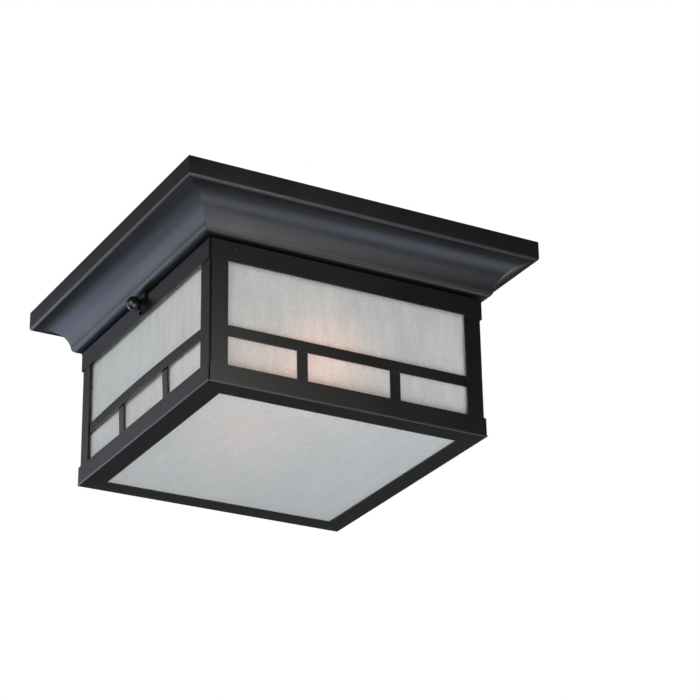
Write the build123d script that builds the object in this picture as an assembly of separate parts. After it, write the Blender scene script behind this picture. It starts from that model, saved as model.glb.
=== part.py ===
from build123d import *
import math
import os

# Square porch ceiling light: a coved sheet-steel pan against the ceiling, and a glazed strip-steel
# cage below it that hangs from two side tabs on ball-headed thumb screws.
# Millimetres. The origin is on the ceiling plane in the middle of the light, and +Z points up.
# Pieces of a side are drawn on the front (-Y) side and turned about Z to the other sides.

# Cage
cage_width = 238.0
cage_height = 116.9
rail_sheet = 1.2
rail_bend_radius = 1.4
top_rail_height = 17.0
top_flange_width = 12.0
bottom_rail_height = 15.6
bottom_flange_width = 17.7
flange_seam = 0.3
strip_end_gap = 0.2
post_width = 15.2
post_sheet = 1.2
corner_angle_leg = 7.0
corner_angle_sheet = 1.0
mid_bar_height = 8.9
mid_bar_sheet = 1.0
mid_bar_rise = 44.3
muntin_width = 8.9
muntin_sheet = 1.0
muntin_spacing = 79.6
muntin_lap = 7.8

# Glass
glass_thickness = 3.0
glass_edge_gap = 0.4
glass_top_gap = 0.7
clip_sheet = 0.8
clip_width = 10.0
clip_drop = 12.7
clip_spacing = 120.0
clip_foot = 5.4

# Pan
pan_sheet = 1.2
lip_height = 14.2
lip_bead_radius = 2.4
hem_depth = 8.0
cove_radius = 25.6
cove_lip_degrees = 2.0
cove_foot_degrees = 8.4
ledge_round = 4.5
ledge_flat = 2.2
gasket_thickness = 1.0
gasket_width = 9.0
gasket_inset = 2.0

# Hanger tabs and thumb screws
tab_sheet = 1.5
tab_width = 16.0
tab_foot = 15.0
tab_gap = 0.2
tab_slit_gap = 0.2
screw_drop = 6.7
screw_radius = 2.0
screw_slot_gap = 0.15
running_gap = 0.05
weld_nut_flats = 7.0
weld_nut_thickness = 2.5
screw_tip_gap = 0.3
washer_radius = 6.2
washer_thickness = 0.8
ball_radius = 5.8
ball_seat_radius = 3.5

# Bar that screws to the outlet box, and the studs that carry the pan
bar_width = 24.0
bar_sheet = 2.0
bar_end = 10.0
box_screw_near = 69.85
box_screw_far = 88.9
box_slot_radius = 2.3
stud_spacing = 116.0
stud_radius = 2.5
stud_past_floor = 7.0
stud_hole_gap = 0.3
stud_nut_flats = 8.0
stud_nut_thickness = 4.0
cap_nut_flats = 8.0
cap_nut_hex_height = 5.0
cap_nut_end_gap = 0.5
cap_nut_dome_radius = 3.8
thread_gap = 0.1
ground_screw_radius = 1.9
ground_screw_head_radius = 3.8
ground_screw_head_height = 2.6
ground_screw_length = 8.0
ground_screw_x = 14.0
ground_screw_y = 6.0

# Lampholders on brackets under the pan floor
bulb_spacing = 88.0
bulb_drop = 43.7
bracket_sheet = 1.5
bracket_width = 36.0
bracket_foot = 34.0
bracket_inset = 7.0
bracket_below_axis = 22.0
holder_radius = 20.0
holder_length = 38.0
holder_floor = 6.0
holder_mouth_round = 1.5
contact_thickness = 1.0
contact_radius = 5.0
shell_wall = 0.5
shell_length = 24.0
shell_gap = 0.1
holder_screw_radius = 1.5
holder_screw_spacing = 24.0
holder_screw_depth = 5.0
holder_screw_head_radius = 2.9
holder_screw_head_height = 1.8
rivet_radius = 1.6
rivet_head_radius = 3.0
rivet_head_height = 1.2
rivet_spacing = 24.0
rivet_inset = 6.0
rivet_gap = 0.1
bushing_inset = 16.0
bushing_radius = 4.9
bushing_bore_radius = 3.2
bushing_flange_radius = 7.0
bushing_flange_height = 1.5
bushing_above_floor = 3.0
bushing_gap = 0.1

# Bulbs, measured from the contact at the base of the cap
bulb_length = 110.0
bulb_radius = 30.0
bulb_wall = 0.8
bulb_neck_start = 22.0
bulb_neck_end = 30.0
cap_radius = 13.0
cap_wall = 0.4
cap_start = 4.0
cap_end = 26.0
cap_clearance = 0.4
cement_gap = 0.1
bulb_contact_radius = 4.0
bulb_contact_height = 1.8

# Terminal block and the two pairs of leads
block_length = 30.0
block_width = 24.0
block_height = 14.0
pole_spacing = 10.0
terminal_screw_radius = 2.2
terminal_screw_inset = 7.0
terminal_screw_height = 1.0
lead_radius = 1.2
lead_pair_spacing = 3.2
lead_hole_gap = 0.3
lead_in_block = 6.0
lead_straight_out = 18.0
lead_bend_radius = 6.0
lead_sweep_radius = 12.0
lead_end_gap = 0.3
lead_hole_depth = 5.5
lead_height = 7.0

# Planes and half widths that the sizes above give
cage_half = cage_width / 2
post_half = cage_half - rail_sheet
angle_half = post_half - post_sheet
bar_half = angle_half - mid_bar_sheet
glass_half = bar_half - muntin_sheet
glass_inside = glass_half - glass_thickness
pane_half = glass_inside - glass_edge_gap

# Centres of the three rounds of the pan's section, as half width and height
lip_slope = math.radians(cove_lip_degrees)
foot_slope = math.radians(cove_foot_degrees)
foot_half = cage_half + ledge_flat
cove_half = foot_half + (cove_radius + ledge_round) * math.cos(foot_slope)
bead_half = cove_half - (cove_radius + lip_bead_radius) * math.sin(lip_slope)
bead_height = -lip_height
cove_height = bead_height - (cove_radius + lip_bead_radius) * math.cos(lip_slope)
foot_height = cove_height + (cove_radius + ledge_round) * math.sin(foot_slope)

pan_half = bead_half + lip_bead_radius
pan_floor = foot_height - ledge_round
pan_floor_top = pan_floor + pan_sheet
cage_top = pan_floor - gasket_thickness
cage_bottom = cage_top - cage_height
top_flange_under = cage_top - rail_sheet
bottom_flange_top = cage_bottom + rail_sheet
rail_inner_bend = rail_bend_radius - rail_sheet
mid_bar_middle = cage_bottom + mid_bar_rise
opening_half = cage_half - top_flange_width

tab_inside = cage_half + tab_gap
tab_outside = tab_inside + tab_sheet
screw_height = cage_top - screw_drop
washer_outside = tab_outside + washer_thickness
ball_centre = washer_outside + math.sqrt(ball_radius**2 - ball_seat_radius**2)
screw_tip = glass_half + screw_tip_gap

bulb_y = bulb_spacing / 2
bulb_height = pan_floor - bulb_drop
bracket_back = opening_half - bracket_inset
bracket_face = bracket_back - bracket_sheet
bulb_base = bracket_face - holder_floor - contact_thickness
bracket_foot_under = pan_floor - bracket_sheet
shell_inner_radius = cap_radius + cap_clearance
shell_outer_radius = shell_inner_radius + shell_wall
holder_bore_radius = shell_outer_radius + shell_gap
bushing_x = bracket_back - bushing_inset
lead_level = pan_floor_top + lead_height

far_away = 2 * pan_half
ON_END = (Align.CENTER, Align.CENTER, Align.MIN)
SIDES = {"front": 0, "right": 90, "back": 180, "left": 270}


# Shared shapes
def block(x_low, x_high, y_low, y_high, z_low, z_high):
    """Box between two corners."""
    middle = ((x_low + x_high) / 2, (y_low + y_high) / 2, (z_low + z_high) / 2)
    return Pos(*middle) * Box(x_high - x_low, y_high - y_low, z_high - z_low)


def upright(radius, x, y, z_low, z_high):
    """Vertical round bar."""
    return Pos(x, y, z_low) * Cylinder(radius, z_high - z_low, align=ON_END)


def outward(radius, x, z, near, far):
    """Round bar that runs out through the front side, from half width near to half width far."""
    return Pos(x, -near, z) * Rot(90, 0, 0) * Cylinder(radius, far - near, align=ON_END)


def hexagon(flats, thickness):
    """Hexagonal prism that stands on its end at the origin."""
    return extrude(RegularPolygon(flats / 2, 6, major_radius=False), thickness)


def turned(shape, degrees):
    """Shape turned about the vertical middle line of the light."""
    return Rot(0, 0, degrees) * shape


def pair(shape):
    """The shape and its copy half a turn round the light."""
    return Compound([shape, turned(shape, 180)])


def square_form(half_profile):
    """Square solid with mitred corners that has the same half profile on all four sides."""
    profile = half_profile + mirror(half_profile, Plane.YZ)
    across = extrude(profile, pan_half, both=True)
    return across & turned(across, 90)


# Pan
def pan_rounds(inset):
    """Bead, hollow cove and rounded foot of the pan's section, each tangent to the next."""
    bead_turn = 90 - cove_lip_degrees
    foot_turn = 90 - cove_foot_degrees
    return [
        CenterArc((bead_half, bead_height), lip_bead_radius - inset, -bead_turn, bead_turn),
        CenterArc((cove_half, cove_height), cove_radius + inset, 180 - bead_turn, bead_turn - cove_foot_degrees),
        CenterArc((foot_half, foot_height), ledge_round - inset, -90, foot_turn),
    ]


def pan_outside():
    """Half profile of the pan's outer surface: lip, bead, cove, foot and ledge."""
    rest = Polyline((foot_half, pan_floor), (0, pan_floor), (0, 0), (pan_half, 0), (pan_half, bead_height))
    return make_face(Plane.XZ * Curve(pan_rounds(0) + [rest]))


def pan_inside():
    """Half profile of the space inside the pan, one sheet in from its outer surface."""
    hem_inside = pan_half - 2 * pan_sheet
    lip_inside = pan_half - pan_sheet
    rest = Polyline((foot_half, pan_floor_top), (0, pan_floor_top), (0, pan_sheet), (hem_inside, pan_sheet),
                    (hem_inside, -hem_depth), (lip_inside, -hem_depth), (lip_inside, bead_height))
    return make_face(Plane.XZ * Curve(pan_rounds(pan_sheet) + [rest]))


def canopy_pan():
    """Coved pan with a hemmed rim, and the holes in its floor for studs, leads, rivets and tabs."""
    pan = square_form(pan_outside()) - square_form(pan_inside())
    stud_hole = upright(stud_radius + stud_hole_gap, stud_spacing / 2, 0, pan_floor - pan_sheet, 0)
    bushing_hole = upright(bushing_radius + bushing_gap, bushing_x, -bulb_y, pan_floor - pan_sheet, 0)
    slit = block(-tab_width / 2 - tab_slit_gap, tab_width / 2 + tab_slit_gap,
                 -tab_outside - tab_slit_gap, -tab_inside + tab_slit_gap,
                 pan_floor - pan_sheet, pan_floor_top + pan_sheet)
    for cut in [stud_hole, bushing_hole, turned(slit, 90)] + rivet_holes():
        pan = pan - cut - turned(cut, 180)
    return pan


def pan_gasket():
    """Square ring of four flat strips between the pan's ledge and the cage's top flange."""
    outside = post_half - gasket_inset
    inside = outside - gasket_width
    strip = block(-outside, inside - strip_end_gap, -outside, -inside, cage_top, pan_floor)
    return Compound([turned(strip, degrees) for degrees in SIDES.values()])


def hanger_tab():
    """Angle whose foot lies on the pan floor and whose round-ended leg hangs outside the top rail."""
    half = tab_width / 2
    foot_top = pan_floor_top + tab_sheet
    foot = block(-half, half, -tab_outside, tab_foot - tab_outside, pan_floor_top, foot_top)
    leg = block(-half, half, -tab_outside, -tab_inside, screw_height, foot_top)
    round_end = outward(half, 0, screw_height, tab_inside, tab_outside)
    slot_half = screw_radius + screw_slot_gap
    slot = block(-slot_half, slot_half, -tab_outside, -tab_inside, screw_height - tab_width, screw_height)
    slot_end = outward(slot_half, 0, screw_height, tab_inside, tab_outside)
    return foot + leg + round_end - slot - slot_end


# Bar, studs and nuts
def mounting_bar():
    """Flat bar against the ceiling, slotted for the outlet box's screws."""
    half_length = stud_spacing / 2 + bar_end
    bar = block(-half_length, half_length, -bar_width / 2, bar_width / 2, -bar_sheet, 0)
    near = box_screw_near / 2
    far = box_screw_far / 2
    slot = block(near, far, -box_slot_radius, box_slot_radius, -bar_sheet, 0)
    slot = slot + upright(box_slot_radius, near, 0, -bar_sheet, 0)
    slot = slot + upright(box_slot_radius, far, 0, -bar_sheet, 0)
    stud_hole = upright(stud_radius + thread_gap, stud_spacing / 2, 0, -bar_sheet, 0)
    for cut in [slot, stud_hole]:
        bar = bar - cut - turned(cut, 180)
    return bar - upright(ground_screw_radius + thread_gap, ground_screw_x, ground_screw_y, -bar_sheet, 0)


def stud():
    """Threaded stud from the bar down through the pan floor."""
    return upright(stud_radius, stud_spacing / 2, 0, pan_floor - stud_past_floor, 0)


def stud_nut():
    """Hexagon nut that locks a stud under the bar."""
    x = stud_spacing / 2
    nut_under = -bar_sheet - stud_nut_thickness
    nut = Pos(x, 0, nut_under) * hexagon(stud_nut_flats, stud_nut_thickness)
    return nut - upright(stud_radius + thread_gap, x, 0, nut_under, -bar_sheet)


def cap_nut():
    """Domed nut under the pan floor, blind below the stud's end."""
    hex_under = pan_floor - cap_nut_hex_height
    bore_end = pan_floor - stud_past_floor - cap_nut_end_gap
    x = stud_spacing / 2
    body = Pos(x, 0, hex_under) * hexagon(cap_nut_flats, cap_nut_hex_height)
    neck = upright(cap_nut_dome_radius, x, 0, bore_end, hex_under)
    dome = Pos(x, 0, bore_end) * Sphere(cap_nut_dome_radius)
    below = block(x - cap_nut_flats, x + cap_nut_flats, -cap_nut_flats, cap_nut_flats,
                  bore_end - cap_nut_flats, hex_under)
    bore = upright(stud_radius + thread_gap, x, 0, bore_end, pan_floor)
    return body + neck + (dome & below) - bore


def ground_screw():
    """Earth screw through the bar, its head below."""
    head_top = -bar_sheet
    head_under = head_top - ground_screw_head_height
    shank = upright(ground_screw_radius, ground_screw_x, ground_screw_y, head_under, 0)
    head = upright(ground_screw_head_radius, ground_screw_x, ground_screw_y, head_under, head_top)
    point = upright(ground_screw_radius, ground_screw_x, ground_screw_y, -ground_screw_length, head_under)
    return shank + head + point


# Lampholders and brackets
def rivet_places():
    """X and Y of the two rivets in the front bracket's foot."""
    x = bracket_back - bracket_foot + rivet_inset
    return [(x, -bulb_y - rivet_spacing / 2), (x, -bulb_y + rivet_spacing / 2)]


def rivet_holes():
    """Holes for the front bracket's rivets through the foot and the pan floor."""
    low = bracket_foot_under - rivet_head_height
    return [upright(rivet_radius + rivet_gap, x, y, low, 0) for x, y in rivet_places()]


def along_bulb(shape):
    """Place a shape drawn on +Z from the bulb's base so that it lies along the front bulb."""
    return Pos(bulb_base, -bulb_y, bulb_height) * Rot(0, -90, 0) * shape


def holder_screw_places():
    """Sideways places of the two screws that hold a lampholder."""
    return [-holder_screw_spacing / 2, holder_screw_spacing / 2]


def lampholder_bracket():
    """Angle under the pan floor that carries the front lampholder."""
    y_low = -bulb_y - bracket_width / 2
    y_high = -bulb_y + bracket_width / 2
    foot = block(bracket_back - bracket_foot, bracket_back, y_low, y_high, bracket_foot_under, pan_floor)
    leg = block(bracket_face, bracket_back, y_low, y_high, bulb_height - bracket_below_axis, pan_floor)
    bushing_hole = upright(bushing_radius + bushing_gap, bushing_x, -bulb_y, bracket_foot_under, pan_floor)
    bracket = foot + leg - bushing_hole
    screw_start = bulb_base - bracket_back
    for y in holder_screw_places():
        hole = Cylinder(holder_screw_radius + thread_gap, bracket_sheet, align=ON_END)
        bracket = bracket - along_bulb(Pos(0, y, screw_start) * hole)
    for hole in rivet_holes():
        bracket = bracket - hole
    return bracket


def lampholder():
    """Porcelain cup, open towards the bulb, with holes for its screws and leads."""
    base = -contact_thickness - holder_floor
    cup = Pos(0, 0, base) * Cylinder(holder_radius, holder_length, align=ON_END)
    cup = fillet(cup.edges().sort_by(Axis.Z)[-1], holder_mouth_round)
    cup = cup - Pos(0, 0, -contact_thickness) * Cylinder(holder_bore_radius, holder_length, align=ON_END)
    screw_hole_radius = holder_screw_radius + thread_gap
    for y in holder_screw_places():
        cup = cup - Pos(0, y, base) * Cylinder(screw_hole_radius, holder_screw_depth, align=ON_END)
    lead_hole = Rot(0, 90, 0) * Cylinder(bushing_bore_radius, lead_hole_depth, align=ON_END)
    cup = cup - Pos(holder_radius - lead_hole_depth, 0, bulb_base - bushing_x) * lead_hole
    return along_bulb(cup)


def screw_shell():
    """Thin brass tube that the bulb's cap screws into."""
    tube = Cylinder(shell_outer_radius, shell_length, align=ON_END)
    tube = tube - Cylinder(shell_inner_radius, shell_length, align=ON_END)
    return along_bulb(Pos(0, 0, -contact_thickness) * tube)


def centre_contact():
    """Brass disc on the floor of the lampholder."""
    disc = Cylinder(contact_radius, contact_thickness, align=ON_END)
    return along_bulb(Pos(0, 0, -contact_thickness) * disc)


def lampholder_screws():
    """Two round-headed screws through the bracket into the lampholder."""
    screws = []
    back = bulb_base - bracket_back
    shank_length = bracket_sheet + holder_screw_depth
    for y in holder_screw_places():
        shank = Pos(0, y, back) * Cylinder(holder_screw_radius, shank_length, align=ON_END)
        head = Cylinder(holder_screw_head_radius, holder_screw_head_height, align=ON_END)
        head = Pos(0, y, back - holder_screw_head_height) * head
        screws.append(along_bulb(shank + head))
    return screws


def bracket_rivets():
    """Two rivets that hold a bracket's foot to the pan floor."""
    rivets = []
    for x, y in rivet_places():
        shank = upright(rivet_radius, x, y, bracket_foot_under, pan_floor_top)
        lower = upright(rivet_head_radius, x, y, bracket_foot_under - rivet_head_height, bracket_foot_under)
        upper = upright(rivet_head_radius, x, y, pan_floor_top, pan_floor_top + rivet_head_height)
        rivets.append(shank + lower + upper)
    return rivets


def wire_bushing():
    """Flanged bushing where a pair of leads goes through the bracket's foot and the pan floor."""
    top = pan_floor_top + bushing_above_floor
    flange_under = bracket_foot_under - bushing_flange_height
    body = upright(bushing_radius, bushing_x, -bulb_y, flange_under, top)
    flange = upright(bushing_flange_radius, bushing_x, -bulb_y, flange_under, bracket_foot_under)
    return body + flange - upright(bushing_bore_radius, bushing_x, -bulb_y, flange_under, top)


# Bulbs
def bulb_tangent(inset):
    """Place on the globe, as radius and length, where the cone from the neck meets it smoothly."""
    globe = bulb_radius - inset
    neck = cap_radius - cap_wall - cement_gap - inset
    middle = bulb_length - bulb_radius
    reach = math.hypot(middle - bulb_neck_end, neck)
    slope = math.asin(globe / reach) - math.atan2(neck, middle - bulb_neck_end)
    return (globe * math.cos(slope), middle - globe * math.sin(slope))


def bulb_envelope(inset):
    """Solid of the bulb's outline, moved in by an inset: neck, cone and globe."""
    globe = bulb_radius - inset
    neck = cap_radius - cap_wall - cement_gap - inset
    middle = bulb_length - bulb_radius
    start = bulb_neck_start
    tangent = bulb_tangent(inset)
    edges = [
        Polyline((0, middle + globe), (0, start), (neck, start), (neck, bulb_neck_end), tangent),
        ThreePointArc(tangent, (globe, middle), (0, middle + globe)),
    ]
    return revolve(make_face(Plane.XZ * Curve(edges)), Axis.Z)


def bulb_glass():
    """Thin glass envelope, open at the neck."""
    return along_bulb(bulb_envelope(0) - bulb_envelope(bulb_wall))


def bulb_cap():
    """Thin metal screw cap over the neck."""
    tube = Cylinder(cap_radius, cap_end - cap_start, align=ON_END)
    tube = tube - Cylinder(cap_radius - cap_wall, cap_end - cap_start, align=ON_END)
    return along_bulb(Pos(0, 0, cap_start) * tube)


def bulb_base_parts():
    """Dark glass cone that closes the base of the cap, and the round contact at its tip."""
    height = cap_start - bulb_contact_height
    cone = Pos(0, 0, bulb_contact_height) * Cone(bulb_contact_radius, cap_radius, height, align=ON_END)
    contact = Cylinder(bulb_contact_radius, bulb_contact_height, align=ON_END)
    return Compound([along_bulb(cone), along_bulb(contact)])


# Terminal block and leads
def terminal_block():
    """Two-pole block on the pan floor, with a lead hole for each pole in each end."""
    half = block_length / 2
    body = block(-half, half, -block_width / 2, block_width / 2, pan_floor_top, pan_floor_top + block_height)
    hole_depth = lead_in_block + lead_end_gap
    for y in [-pole_spacing / 2, pole_spacing / 2]:
        hole = Rot(0, 90, 0) * Cylinder(lead_radius + lead_hole_gap, hole_depth, align=ON_END)
        hole = Pos(half - hole_depth, y, lead_level) * hole
        body = body - hole - turned(hole, 180)
    return body


def terminal_screws():
    """Clamp screw heads on the block, two to a pole."""
    top = pan_floor_top + block_height
    x = block_length / 2 - terminal_screw_inset
    heads = []
    for y in [-pole_spacing / 2, pole_spacing / 2]:
        heads.append(upright(terminal_screw_radius, x, y, top, top + terminal_screw_height))
    return heads


def lead(side):
    """Insulated lead from the front lampholder up through its bushing and across to the block."""
    x = bushing_x
    y = -bulb_y + side * lead_pair_spacing / 2
    pole_y = side * pole_spacing / 2
    start_height = bulb_height + holder_radius - lead_hole_depth + lead_end_gap
    block_face = block_length / 2
    route = FilletPolyline(
        (x, y, start_height),
        (x, y, lead_level),
        (block_face + lead_straight_out, pole_y, lead_level),
        (block_face - lead_in_block, pole_y, lead_level),
        radius=[lead_bend_radius, lead_sweep_radius],
    )
    section = Plane(route @ 0, z_dir=route % 0) * Circle(lead_radius)
    return sweep(section, route)


# Cage frame
def mitred(shape, gap):
    """Trim the ends of a front-side piece to 45 degrees, half a gap short of the mitre."""
    inset = gap / math.sqrt(2)
    wedge = Polyline((0, -inset), (-far_away, -far_away - inset), (far_away, -far_away - inset), close=True)
    return shape & extrude(make_face(wedge), far_away, both=True)


def angle_rail(height, flange_width):
    """Angle strip with its flange at z = 0 and its leg up, on the front side."""
    section = Rectangle(rail_sheet, height, align=(Align.MIN, Align.MIN))
    section = section + Rectangle(flange_width, rail_sheet, align=(Align.MIN, Align.MIN))
    outer_corner = section.vertices().sort_by_distance((0, 0, 0))[0]
    section = fillet(outer_corner, rail_bend_radius)
    inner_corner = section.vertices().sort_by_distance((rail_sheet, rail_sheet, 0))[0]
    section = fillet(inner_corner, rail_inner_bend)
    rail = extrude(Plane.YZ * section, cage_half, both=True)
    rail = mitred(Pos(0, -cage_half, 0) * rail, flange_seam)
    strip_end = post_half - strip_end_gap
    for x_low, x_high in [(strip_end, far_away), (-far_away, -strip_end)]:
        rail = rail - block(x_low, x_high, -far_away, 0, rail_bend_radius, far_away)
    return rail


def bottom_rail():
    """Angle with its flange turned in under the glass."""
    return Pos(0, 0, cage_bottom) * angle_rail(bottom_rail_height, bottom_flange_width)


def top_rail():
    """Angle with its flange turned in under the gasket."""
    return Pos(0, 0, cage_top) * Rot(0, 180, 0) * angle_rail(top_rail_height, top_flange_width)


def screw_hole():
    """Hole through a top rail for a thumb screw."""
    return outward(screw_radius + running_gap, 0, screw_height, post_half, cage_half)


def post_strip():
    """Flat strip at the left end of the front side, behind both rails."""
    end_gap = rail_sheet + rail_inner_bend + strip_end_gap
    outer = angle_half - strip_end_gap
    inner = post_half - post_width
    return block(-outer, -inner, -post_half, -angle_half, cage_bottom + end_gap, cage_top - end_gap)


def corner_post():
    """The two strips that meet at the front left corner with an open seam."""
    strip = post_strip()
    return Compound([strip, mirror(turned(strip, 90), Plane.YZ)])


def corner_angle():
    """Angle inside the front left corner that joins the two strips of a post."""
    inner = angle_half - corner_angle_sheet
    leg_end = angle_half - corner_angle_leg
    front = block(-angle_half, -leg_end, -angle_half, -inner, bottom_flange_top, top_flange_under)
    side = block(-angle_half, -inner, -angle_half, -leg_end, bottom_flange_top, top_flange_under)
    return front + side


def mid_bar():
    """Flat strip across the front side, tucked behind the posts."""
    end = angle_half - corner_angle_leg - strip_end_gap
    bar_low = mid_bar_middle - mid_bar_height / 2
    bar_high = mid_bar_middle + mid_bar_height / 2
    return block(-end, end, -angle_half, -bar_half, bar_low, bar_high)


def muntins():
    """Two short uprights that stand on the bottom flange and lap behind the mid bar."""
    top = mid_bar_middle - mid_bar_height / 2 + muntin_lap
    bars = []
    for x in [-muntin_spacing / 2, muntin_spacing / 2]:
        bars.append(block(x - muntin_width / 2, x + muntin_width / 2, -bar_half, -glass_half,
                          bottom_flange_top, top))
    return Compound(bars)


# Glass and what holds it
def side_glass():
    """Pane that stands on the bottom flange behind the bars."""
    top = top_flange_under - clip_sheet - glass_top_gap
    return block(-pane_half, pane_half, -glass_half, -glass_inside, bottom_flange_top, top)


def bottom_glass():
    """Pane that lies on the four bottom flanges."""
    top = bottom_flange_top + glass_thickness
    return block(-pane_half, pane_half, -pane_half, pane_half, bottom_flange_top, top)


def glass_clip(x):
    """Small angle under the top flange that keeps a pane against the bars."""
    clip_inside = glass_inside - clip_sheet
    x_low = x - clip_width / 2
    x_high = x + clip_width / 2
    clip_under = top_flange_under - clip_sheet
    foot = block(x_low, x_high, -glass_inside - clip_foot, -clip_inside, clip_under, top_flange_under)
    leg = block(x_low, x_high, -glass_inside, -clip_inside, clip_under - clip_drop, top_flange_under)
    return foot + leg


def glass_clips():
    """Two clips on each side."""
    clips = []
    for degrees in SIDES.values():
        for x in [-clip_spacing / 2, clip_spacing / 2]:
            clips.append(turned(glass_clip(x), degrees))
    return Compound(clips)


# Thumb screws
def weld_nut():
    """Hexagon nut on the inside of a top rail."""
    place = Pos(0, -post_half + weld_nut_thickness, screw_height) * Rot(90, 0, 0)
    nut = place * hexagon(weld_nut_flats, weld_nut_thickness)
    nut_inside = post_half - weld_nut_thickness
    return nut - outward(screw_radius + running_gap, 0, screw_height, nut_inside, post_half)


def thumb_washer():
    """Flat washer between the ball and the tab."""
    disc = outward(washer_radius, 0, screw_height, tab_outside, washer_outside)
    return disc - outward(screw_radius + running_gap, 0, screw_height, tab_outside, washer_outside)


def thumb_screw():
    """Screw with a ball head that is cut flat where it bears on the washer."""
    ball = Pos(0, -ball_centre, screw_height) * Sphere(ball_radius)
    head_room = block(-ball_radius, ball_radius, -ball_centre - ball_radius, -washer_outside,
                      screw_height - ball_radius, screw_height + ball_radius)
    shank = outward(screw_radius, 0, screw_height, screw_tip, ball_centre)
    return (ball & head_room) + shank


# Every node by name
def all_nodes():
    """Dictionary of the finished pieces."""
    nodes = {
        "canopy_pan": canopy_pan(),
        "pan_gasket": pan_gasket(),
        "mounting_bar": mounting_bar(),
        "mounting_studs": pair(stud()),
        "stud_nuts": pair(stud_nut()),
        "cap_nuts": pair(cap_nut()),
        "ground_screw": ground_screw(),
        "terminal_block": terminal_block(),
        "bottom_glass": bottom_glass(),
        "glass_clips": glass_clips(),
    }
    fixings = {
        "terminal_screws": terminal_screws(),
        "lampholder_screws": lampholder_screws(),
        "bracket_rivets": bracket_rivets(),
    }
    for name, pieces in fixings.items():
        nodes[name] = Compound([turned(piece, degrees) for piece in pieces for degrees in (0, 180)])
    nodes["wire_bushings"] = pair(wire_bushing())
    nodes["live_leads"] = Compound([lead(-1), turned(lead(1), 180)])
    nodes["neutral_leads"] = Compound([lead(1), turned(lead(-1), 180)])
    nodes["screw_shells"] = pair(screw_shell())
    nodes["centre_contacts"] = pair(centre_contact())
    nodes["weld_nuts"] = turned(pair(weld_nut()), 90)
    for place, degrees in [("front", 0), ("rear", 180)]:
        nodes[f"lampholder_bracket_{place}"] = turned(lampholder_bracket(), degrees)
        nodes[f"lampholder_{place}"] = turned(lampholder(), degrees)
        nodes[f"bulb_glass_{place}"] = turned(bulb_glass(), degrees)
        nodes[f"bulb_cap_{place}"] = turned(bulb_cap(), degrees)
        nodes[f"bulb_base_{place}"] = turned(bulb_base_parts(), degrees)
    for side, degrees in SIDES.items():
        rail = top_rail()
        if side in ("left", "right"):
            rail = rail - screw_hole()
            nodes[f"hanger_tab_{side}"] = turned(hanger_tab(), degrees)
            nodes[f"thumb_washer_{side}"] = turned(thumb_washer(), degrees)
            nodes[f"thumb_screw_{side}"] = turned(thumb_screw(), degrees)
        nodes[f"top_rail_{side}"] = turned(rail, degrees)
        nodes[f"bottom_rail_{side}"] = turned(bottom_rail(), degrees)
        nodes[f"mid_bar_{side}"] = turned(mid_bar(), degrees)
        nodes[f"muntins_{side}"] = turned(muntins(), degrees)
        nodes[f"side_glass_{side}"] = turned(side_glass(), degrees)
    corners = ["front_left", "front_right", "back_right", "back_left"]
    for corner, degrees in zip(corners, SIDES.values()):
        nodes[f"corner_post_{corner}"] = turned(corner_post(), degrees)
    nodes["corner_angles"] = Compound([turned(corner_angle(), degrees) for degrees in SIDES.values()])
    return nodes


os.makedirs("parts", exist_ok=True)
for name, shape in all_nodes().items():
    export_step(shape, f"parts/{name}.step")
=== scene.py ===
import math

import bmesh
import bpy
import numpy as np
from bpy.props import FloatProperty, FloatVectorProperty, PointerProperty
from mathutils import Matrix, Vector


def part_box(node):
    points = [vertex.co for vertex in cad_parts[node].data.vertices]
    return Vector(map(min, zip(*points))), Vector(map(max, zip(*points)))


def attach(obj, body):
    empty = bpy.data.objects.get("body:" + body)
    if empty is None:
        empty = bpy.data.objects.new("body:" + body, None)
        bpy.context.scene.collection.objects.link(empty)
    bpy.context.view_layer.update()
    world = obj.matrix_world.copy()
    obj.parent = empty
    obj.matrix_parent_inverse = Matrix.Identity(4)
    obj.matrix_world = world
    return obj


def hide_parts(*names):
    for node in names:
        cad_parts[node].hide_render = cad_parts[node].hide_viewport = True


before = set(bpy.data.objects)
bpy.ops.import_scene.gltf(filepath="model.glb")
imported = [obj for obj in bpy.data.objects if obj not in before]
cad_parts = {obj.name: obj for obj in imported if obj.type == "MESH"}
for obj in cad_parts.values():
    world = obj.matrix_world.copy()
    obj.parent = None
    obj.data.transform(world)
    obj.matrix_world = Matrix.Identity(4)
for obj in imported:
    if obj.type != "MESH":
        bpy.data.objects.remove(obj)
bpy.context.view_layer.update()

bl_info = {
    "name": "Porch Ceiling Light",
    "version": (1, 0, 0),
    "blender": (4, 5, 0),
    "location": "3D View > Sidebar > Porch Light",
    "description": "Dresses the frame of a porch ceiling light: enamel, frosted glass, lit bulbs and stage",
    "category": "Object",
}

MM = 0.001
SIDES = {"front": 0, "right": 90, "back": 180, "left": 270}
CORNERS = {"front_left": 0, "front_right": 90, "back_right": 180, "back_left": 270}
SHARP_ANGLE = math.radians(35)
MERGE_DISTANCE = 1e-7

# Small sizes of the pieces
LEAST_BEND = 0.1 * MM
GASKET_TRIM = 0.5 * MM
SCREW_POINT = 0.6 * MM
SCREW_CHAMFER = 0.5 * MM
GROOVE_DEPTH = 0.18 * MM
WASHER_GAP = 0.05 * MM
WASHER_ROUND = 0.15 * MM
# Share of a cap's length over which its thread fades in and out
CAP_FADE = 0.12
# Two waves that the edge of the foam follows, each as height and length per radian
GASKET_WAVES = ((0.15 * MM, 13 * MM), (0.1 * MM, 5.3 * MM))

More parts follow.
